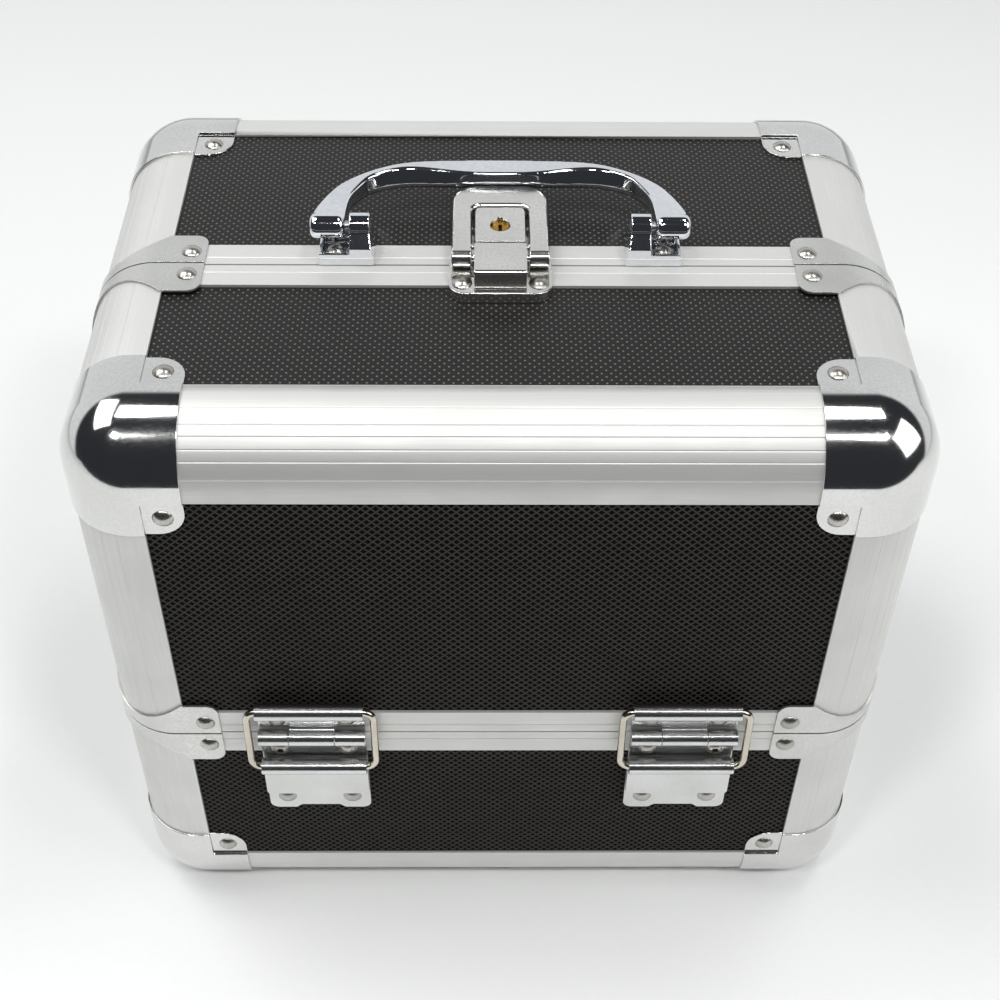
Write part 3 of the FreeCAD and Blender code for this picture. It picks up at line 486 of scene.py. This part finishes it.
def pick(piece: Piece, kind: Element, test: Callable[[Vector], bool]) -> None:
    """Select, in edit mode, the elements whose middle passes a test, and nothing else.

    Args:
        piece: Mesh object in edit mode.
        kind: Kind of element.
        test: Takes the element's middle, in metres.
    """
    bpy.ops.mesh.select_mode(type=kind.value)
    bpy.ops.mesh.select_all(action="DESELECT")
    mesh = bmesh.from_edit_mesh(piece.data)
    for element in getattr(mesh, kind.name.lower()):
        if kind is Element.VERTS:
            middle = element.co
        else:
            middle = sum((vert.co for vert in element.verts), Vector()) / len(element.verts)
        element.select_set(test(middle))
    bmesh.update_edit_mesh(piece.data)


def apply_modifier(piece: Piece, kind: str, **settings: Any) -> None:
    """Add a modifier to the active piece and apply it.

    Args:
        piece: Mesh object, already selected alone.
        kind: Modifier type, such as "BEVEL".
        settings: Properties of the modifier.
    """
    modifier = piece.modifiers.new(kind.lower(), kind)
    for name, value in settings.items():
        setattr(modifier, name, value)
    bpy.ops.object.modifier_apply(modifier=modifier.name)


@dataclass(frozen=True)
class Polish:
    """How a casting is polished: the size of the mesh it gets, and how often it is smoothed."""

    voxel: float
    rounds: int


@dataclass
class SubAssembly:
    """Part of the case: knows the frame and how a solid becomes a finished piece."""

    frame: dict[str, Any]
    smooth_angle: ClassVar[float] = math.radians(32)
    flat_angle: ClassVar[float] = math.radians(0.5)
    sharp_angle: ClassVar[float] = math.radians(40)
    edge_segments: ClassVar[int] = 2
    flat_weight: ClassVar[int] = 90
    smoothing: ClassVar[float] = 0.5

    def body_of(self, node: str) -> str:
        """Name the body that carries a node."""
        bodies = self.frame["record"]["behaviour"]["bodies"]
        return next(body for body, members in bodies.items() if node in members)

    def merged_copy(self, node: str) -> Piece:
        """Copy a node's mesh into a new piece, with its loose triangles joined up.

        Args:
            node: Name of the node.

        Returns:
            The new piece, selected alone.
        """
        piece = bpy.data.objects.new(node + "_finished", self.frame["nodes"][node].data.copy())
        bpy.context.collection.objects.link(piece)
        piece.data.materials.clear()
        select_only(piece)
        bpy.ops.object.mode_set(mode="EDIT")
        bpy.ops.mesh.select_all(action="SELECT")
        bpy.ops.mesh.remove_doubles(threshold=TOUCH)
        bpy.ops.mesh.customdata_custom_splitnormals_clear()
        bpy.ops.mesh.dissolve_limited(angle_limit=self.flat_angle)
        bpy.ops.object.mode_set(mode="OBJECT")
        return piece

    def hand_over(self, piece: Piece, node: str, finish: Finish) -> Piece:
        """Let a finished piece stand for its node on the node's body.

        Args:
            piece: The finished piece.
            node: Node that it replaces.
            finish: Finish whose material it gets, where it has none yet.

        Returns:
            The same piece.
        """
        if not piece.data.materials:
            piece.data.materials.append(finish.material())
        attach(piece, self.body_of(node))
        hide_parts(node)
        LOG.info("%s in %s", piece.name, finish.name)
        return piece

    def eased(self, node: str, finish: Finish, edge: float = 0.2) -> Piece:
        """Finish a node as a piece with its sharp edges eased and its curves smooth.

        Args:
            node: Node to finish.
            finish: Its surface.
            edge: Width of the eased edge.

        Returns:
            The finished piece.
        """
        piece = self.merged_copy(node)
        apply_modifier(piece, "BEVEL", width=edge * MM, segments=self.edge_segments,
                       limit_method="ANGLE", angle_limit=self.sharp_angle)
        self.shade(piece)
        return self.hand_over(piece, node, finish)

    def shade(self, piece: Piece) -> None:
        """Shade curves smooth and keep the flats beside them level."""
        bpy.ops.object.shade_smooth_by_angle(angle=self.smooth_angle)
        apply_modifier(piece, "WEIGHTED_NORMAL", weight=self.flat_weight, keep_sharp=True)

    def cast(self, node: str, finish: Finish, polish: Polish) -> Piece:
        """Finish a node as a casting or wire: every edge is run soft, as polishing leaves it.

        Args:
            node: Node to finish.
            finish: Its surface.
            polish: How far its edges run soft.

        Returns:
            The finished piece.
        """
        piece = self.merged_copy(node)
        apply_modifier(piece, "REMESH", mode="VOXEL", voxel_size=polish.voxel * MM)
        apply_modifier(piece, "SMOOTH", factor=self.smoothing, iterations=polish.rounds)
        bpy.ops.object.shade_smooth()
        return self.hand_over(piece, node, finish)


@dataclass
class CaseShell(SubAssembly):
    """Boards and aluminium lengths of the base and of both halves of the top."""

    clear_x: float = 103.0
    panels: dict[str, Plane] = field(default_factory=lambda: {
        "base_front_panel": Plane.FRONT, "base_rear_panel": Plane.FRONT, "base_side_panels": Plane.SIDE,
        "base_bottom_panel": Plane.TOP, "front_lid_wall_panel": Plane.FRONT,
        "front_lid_top_panel": Plane.TOP, "front_lid_side_panels": Plane.SIDE,
        "rear_lid_wall_panel": Plane.FRONT, "rear_lid_top_panel": Plane.TOP,
        "rear_lid_side_panels": Plane.SIDE})
    lengths: tuple[str, ...] = (
        "base_bottom_rails", "base_rim_channels", "front_lid_top_edges", "front_lid_rim_channels",
        "rear_lid_top_edges", "rear_lid_rim_channels")
    uprights: tuple[str, ...] = ("base_corner_posts", "front_lid_corner_posts", "rear_lid_corner_posts")
    seams: tuple[str, ...] = ("front_lid_seam_channels", "rear_lid_seam_channels")

    def build(self) -> None:
        """Finish the boards, then the aluminium lengths by the way each one runs."""
        for node, plane in self.panels.items():
            self.board(node, plane)
        for node in self.lengths:
            self.mixed_lengths(node, Run.ALONG_Y)
        for node in self.seams:
            self.mixed_lengths(node, Run.ALONG_Z)
        for node in self.uprights:
            self.eased(node, ALUMINIUM[Run.ALONG_Z])

    def board(self, node: str, plane: Plane) -> None:
        """Finish a board: embossed sheet outside, felt inside.

        Args:
            node: Node of one or two boards.
            plane: Plane that they lie in.
        """
        piece = self.merged_copy(node)
        low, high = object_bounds()
        through = plane.value[2]
        middle = (low[through] + high[through]) / 2
        for finish in (ABS[plane], LINING):
            piece.data.materials.append(finish.material())
        for face in piece.data.polygons:
            outside = face.normal[through] * (face.center[through] - middle)
            face.material_index = 1 if outside < 0 else 0
        self.hand_over(piece, node, ABS[plane])

    def mixed_lengths(self, node: str, end_run: Run) -> None:
        """Finish lengths that run along X in the middle and another way at the two ends.

        Args:
            node: Node of the lengths.
            end_run: How the lengths at the ends run.
        """
        piece = self.eased(node, ALUMINIUM[Run.ALONG_X])
        piece.data.materials.append(ALUMINIUM[end_run].material())
        for face in piece.data.polygons:
            face.material_index = 1 if abs(face.center.x) > self.clear_x * MM else 0


@dataclass
class PressedCorners(SubAssembly):
    """Ball corners, pressed from sheet, and the brackets that wrap the edges beside a seam."""

    reach: float = 36.5
    sheet: float = 0.8
    edge_radius: float = 20.5
    bend_segments: int = 18
    tab_start: float = 24.2
    tab_round: float = 8.5
    tab_step: float = 1.0
    tab_segments: int = 8
    rim_edge: float = 0.38
    rim_segments: int = 3
    rim_angle: float = math.radians(50)
    bracket_edge: float = 0.15
    circular: ClassVar[float] = 0.5
    groups: dict[str, tuple[tuple[int, ...], int]] = field(default_factory=lambda: {
        "base_ball_corners": ((-1, 1), -1), "front_lid_ball_corners": ((-1,), 1),
        "rear_lid_ball_corners": ((1,), 1)})

    def build(self) -> None:
        """Press one corner, set copies of it at each place, then finish the brackets."""
        skin = self.pressed_skin()
        for node, (sides, level) in self.groups.items():
            self.set_corners(skin, node, sides, level)
        bpy.data.objects.remove(skin)
        for body in SHELL_BODIES:
            self.eased(body + "_seam_brackets", DULLED, self.bracket_edge)

    def pressed_skin(self) -> Piece:
        """Shape the outer skin of one corner, with its sharp corner at the origin.

        Returns:
            An open skin that runs inward along +X, +Y and +Z.
        """
        far = (self.reach + self.sheet) * MM
        radius = (self.edge_radius + self.sheet) * MM
        bpy.ops.object.select_all(action="DESELECT")
        bpy.ops.mesh.primitive_cube_add(size=far, location=(far / 2, far / 2, far / 2))
        skin = bpy.context.object
        bpy.ops.object.transform_apply()
        bpy.ops.object.mode_set(mode="EDIT")
        pick(skin, Element.FACES, lambda c: max(c) > far - TOUCH)
        bpy.ops.mesh.delete(type="FACE")
        pick(skin, Element.EDGES, lambda c: sorted(c)[1] < TOUCH)
        bpy.ops.mesh.bevel(offset=radius, segments=self.bend_segments, profile=self.circular,
                           affect="EDGES")
        for axis in range(3):
            self.press_tab(skin, axis, far)
        bpy.ops.object.mode_set(mode="OBJECT")
        return skin

    def press_tab(self, skin: Piece, axis: int, far: float) -> None:
        """Step the far corner of one flat inward to make its riveted tab.

        Args:
            skin: Corner in edit mode.
            axis: Axis square to the flat.
            far: Where the skin ends, in metres.
        """
        start = (self.tab_start + self.sheet) * MM
        step = self.tab_step * MM
        across = [other for other in range(3) if other != axis]
        for cut in across:
            pick(skin, Element.FACES,
                 lambda c: c[axis] < TOUCH and min(c[a] for a in across) > start / 2)
            normal = Vector([float(other == cut) for other in range(3)])
            bpy.ops.mesh.bisect(plane_co=normal * start, plane_no=normal)
        pick(skin, Element.FACES, lambda c: c[axis] < TOUCH and min(c[a] for a in across) > start)
        push = Vector([step if other == axis else 0.0 for other in range(3)])
        bpy.ops.mesh.extrude_region_move(TRANSFORM_OT_translate={"value": push})
        pick(skin, Element.FACES,
             lambda c: TOUCH < c[axis] < step - TOUCH and max(c[a] for a in across) > far - TOUCH)
        bpy.ops.mesh.delete(type="FACE")
        pick(skin, Element.VERTS,
             lambda c: abs(c[axis] - step) < TOUCH and min(c[a] for a in across) > far - TOUCH)
        bpy.ops.mesh.bevel(offset=self.tab_round * MM, segments=self.tab_segments,
                           profile=self.circular, affect="VERTICES")

    def set_corners(self, skin: Piece, node: str, sides: tuple[int, ...], level: int) -> None:
        """Set copies of the skin at the corners of one node, then give them their thickness.

        Args:
            skin: The pressed skin.
            node: Node of the corners.
            sides: -1 for the front and 1 for the rear.
            level: -1 at the bottom and 1 at the top.
        """
        low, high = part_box(node)
        copies = []
        for hand in (-1, 1):
            for side in sides:
                signs = (hand, side, level)
                place = Vector([high[a] if signs[a] > 0 else low[a] for a in range(3)])
                copy = skin.copy()
                copy.data = skin.data.copy()
                bpy.context.collection.objects.link(copy)
                copy.data.transform(Matrix.Translation(place) @ Matrix.Diagonal([-s for s in signs] + [1]))
                if hand * side * level > 0:
                    copy.data.flip_normals()
                copies.append(copy)
        select_only(*copies)
        bpy.ops.object.join()
        piece = bpy.context.object
        piece.name = node + "_finished"
        apply_modifier(piece, "SOLIDIFY", thickness=self.sheet * MM, offset=-1.0, use_even_offset=True)
        apply_modifier(piece, "BEVEL", width=self.rim_edge * MM, segments=self.rim_segments,
                       limit_method="ANGLE", angle_limit=self.rim_angle)
        self.shade(piece)
        self.hand_over(piece, node, PRESSED)


@dataclass
class HingeLatches(SubAssembly):
    """Hinge leaves, pins, wire bails and lever plates along the lower seam, with all rivets."""

    bail_polish: Polish = Polish(0.25, 6)
    rivet_edge: float = 0.1

    def build(self) -> None:
        """Finish the leaves, then each latch's bail and lever, then the rivets."""
        self.eased("hinge_lower_leaves", HINGE)
        self.eased("hinge_pins", STEEL)
        for side in OPENING_SIDES:
            self.eased(side + "_hinge_upper_leaves", HINGE)
            for place in ("left", "right"):
                self.cast("%s_%s_bail" % (side, place), NICKEL, self.bail_polish)
                self.eased("%s_%s_latch_lever" % (side, place), HINGE)
        for body in SHELL_BODIES:
            self.eased(body + "_rivets", RIVET, self.rivet_edge)


@dataclass
class CarryHandle(SubAssembly):
    """Bow handle on its two posts."""

    bow_polish: Polish = Polish(0.32, 18)
    post_polish: Polish = Polish(0.25, 3)

    def build(self) -> None:
        """Finish the handle and its posts as polished castings, then the pins."""
        self.cast("handle", CHROME, self.bow_polish)
        self.cast("handle_posts", CHROME, self.post_polish)
        self.eased("handle_pins", STEEL)


@dataclass
class KeyLock(SubAssembly):
    """Lock on the top seam: lever, claw, housing, key plug and keeper."""

    castings: dict[str, Polish] = field(default_factory=lambda: {
        "lock_lever": Polish(0.25, 4), "lock_housing": Polish(0.22, 3),
        "lock_claw": Polish(0.2, 3), "lock_keeper": Polish(0.25, 3)})
    plug_edge: float = 0.1

    def build(self) -> None:
        """Finish the lock's castings, then its brass plug."""
        for node, polish in self.castings.items():
            self.cast(node, SATIN, polish)
        self.eased("key_plug", BRASS, self.plug_edge)


@dataclass
class TrayStack(SubAssembly):
    """Trays behind both halves of the top, with the arms and studs that carry them."""

    tray_edge: float = 0.4

    def build(self) -> None:
        """Finish each tray and the steel that moves it."""
        for side in OPENING_SIDES:
            for level in ("lower", "upper"):
                self.eased("%s_%s_tray" % (side, level), TRAY, self.tray_edge)
            self.eased(side + "_tray_arms", STEEL)
            self.eased(side + "_lid_tray_studs", STEEL)
        self.eased("tray_arm_studs", STEEL)


@dataclass(frozen=True)
class Lamp:
    """A soft rectangular lamp that points at the case, with its place, sides and target in metres."""

    name: str
    place: tuple[float, float, float]
    sides: tuple[float, float]
    watts: float
    target: ClassVar[tuple[float, float, float]] = (0.0, 0.0, 0.1)

    def hang(self) -> None:
        """Hang the lamp in the scene."""
        data = bpy.data.lights.new(self.name, "AREA")
        data.shape = "RECTANGLE"
        data.size, data.size_y = self.sides
        data.energy = self.watts
        lamp = bpy.data.objects.new(self.name, data)
        bpy.context.collection.objects.link(lamp)
        lamp.location = self.place
        lamp.rotation_euler = (Vector(self.target) - lamp.location).to_track_quat("-Z", "Y").to_euler()
        LOG.info("%s of %.1f W", self.name, self.watts)


@dataclass
class Studio:
    """Plain pale floor, soft light and the camera at the photograph's angle.

    Angles are in degrees. The floor's size and front edge and the nearest distance that the camera
    sees are in metres.
    """

    camera_at: tuple[float, float, float] = (-5.9, -406.4, 519.3)
    azimuth: float = 0.985
    elevation: float = 44.72
    roll: float = 0.779
    lens: float = 56.54
    sensor: float = 36.0
    nearest: float = 0.01
    floor_size: float = 3.2
    floor_front: float = -0.52
    backdrop: str = "#f2f4f5"
    dark_room: str = "#34363a"
    glow: float = 0.95
    dark_elevation: float = 42.0
    dark_edge: tuple[float, float] = (-0.1, 0.02)
    lamps: tuple[Lamp, ...] = (
        Lamp("left_soft_box", (-0.85, 0.18, 1.25), (1.0, 0.6), 6.0),
        Lamp("right_soft_box", (1.15, -0.4, 0.9), (0.9, 0.9), 6.0),
        Lamp("left_overhead_lamp", (-0.55, 0.2, 2.1), (0.6, 0.25), 7.5),
        Lamp("right_overhead_lamp", (0.55, 0.2, 2.1), (0.6, 0.25), 7.5),
        Lamp("left_ceiling_lamp", (-0.75, -1.0, 1.8), (0.3, 0.2), 7.0),
        Lamp("middle_ceiling_lamp", (-0.05, -1.05, 1.9), (0.3, 0.2), 7.0),
        Lamp("right_ceiling_lamp", (0.7, -1.0, 1.8), (0.3, 0.2), 7.0))

    def build(self) -> None:
        """Set up the camera, the floor, the surroundings and the lamps."""
        self.set_camera()
        self.lay_floor()
        self.surround()
        for lamp in self.lamps:
            lamp.hang()

    def axes(self) -> tuple[Vector, Vector, Vector]:
        """Work out which way the camera is turned.

        Returns:
            The camera's right, up and backward directions.
        """
        azimuth, elevation, roll = (math.radians(a) for a in (self.azimuth, self.elevation, self.roll))
        level = Vector((math.cos(azimuth), -math.sin(azimuth), 0.0))
        ahead = Vector((math.cos(elevation) * math.sin(azimuth), math.cos(elevation) * math.cos(azimuth),
                        -math.sin(elevation)))
        upright = level.cross(ahead)
        right = level * math.cos(roll) + upright * math.sin(roll)
        return right, right.cross(ahead), -ahead

    def set_camera(self) -> None:
        """Place the camera by its solved position and angles."""
        camera = bpy.data.objects.new("camera", bpy.data.cameras.new("camera"))
        bpy.context.collection.objects.link(camera)
        camera.data.lens = self.lens
        camera.data.sensor_width = self.sensor
        camera.data.clip_start = self.nearest
        turned = Matrix(self.axes()).transposed().to_4x4()
        camera.matrix_world = Matrix.Translation(Vector(self.camera_at) * MM) @ turned
        bpy.context.scene.camera = camera

    def lay_floor(self) -> None:
        """Lay one wide sheet of pale paper that ends at the table's front edge."""
        bpy.ops.object.select_all(action="DESELECT")
        bpy.ops.mesh.primitive_plane_add(
            size=self.floor_size, location=(0, self.floor_front + self.floor_size / 2, 0))
        bpy.ops.object.transform_apply()
        floor = bpy.context.object
        floor.name = "floor"
        floor.data.materials.append(PAPER.material())
        floor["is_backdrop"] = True

    def surround(self) -> None:
        """Put a pale backdrop and a dark room round the case.

        The camera itself sees only the backdrop. The room shows in what the metal reflects.
        """
        world = bpy.data.worlds.new("studio")
        bpy.context.scene.world = world
        world.use_nodes = True
        tree = world.node_tree
        tree.nodes.clear()
        toward = add_node(tree, "ShaderNodeTexCoord").outputs["Generated"]
        rise = math.radians(self.dark_elevation)
        facing = add_node(tree, "ShaderNodeVectorMath", {"operation": "DOT_PRODUCT"},
                          {0: toward, 1: (0.0, -math.cos(rise), math.sin(rise))}).outputs["Value"]
        dark = spread(tree, facing, self.dark_edge, curve=Curve.EASED)
        seen = add_node(tree, "ShaderNodeLightPath").outputs["Is Camera Ray"]
        unseen = add_node(tree, "ShaderNodeMath", {"operation": "SUBTRACT", "use_clamp": True},
                          {0: dark, 1: seen}).outputs[0]
        colour = blend(tree, unseen, self.backdrop, self.dark_room)
        glow = add_node(tree, "ShaderNodeBackground", inputs={"Color": colour, "Strength": self.glow})
        add_node(tree, "ShaderNodeOutputWorld", inputs={"Surface": glow.outputs[0]})


def main() -> None:
    """Load the frame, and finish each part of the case."""
    logging.basicConfig(level=logging.INFO)
    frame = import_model()
    bpy.context.scene.view_settings.view_transform = "Standard"
    for part in (CaseShell, PressedCorners, HingeLatches, CarryHandle, KeyLock, TrayStack):
        part(frame).build()
    Studio().build()
    bpy.context.view_layer.update()


if __name__ == "__main__":
    main()
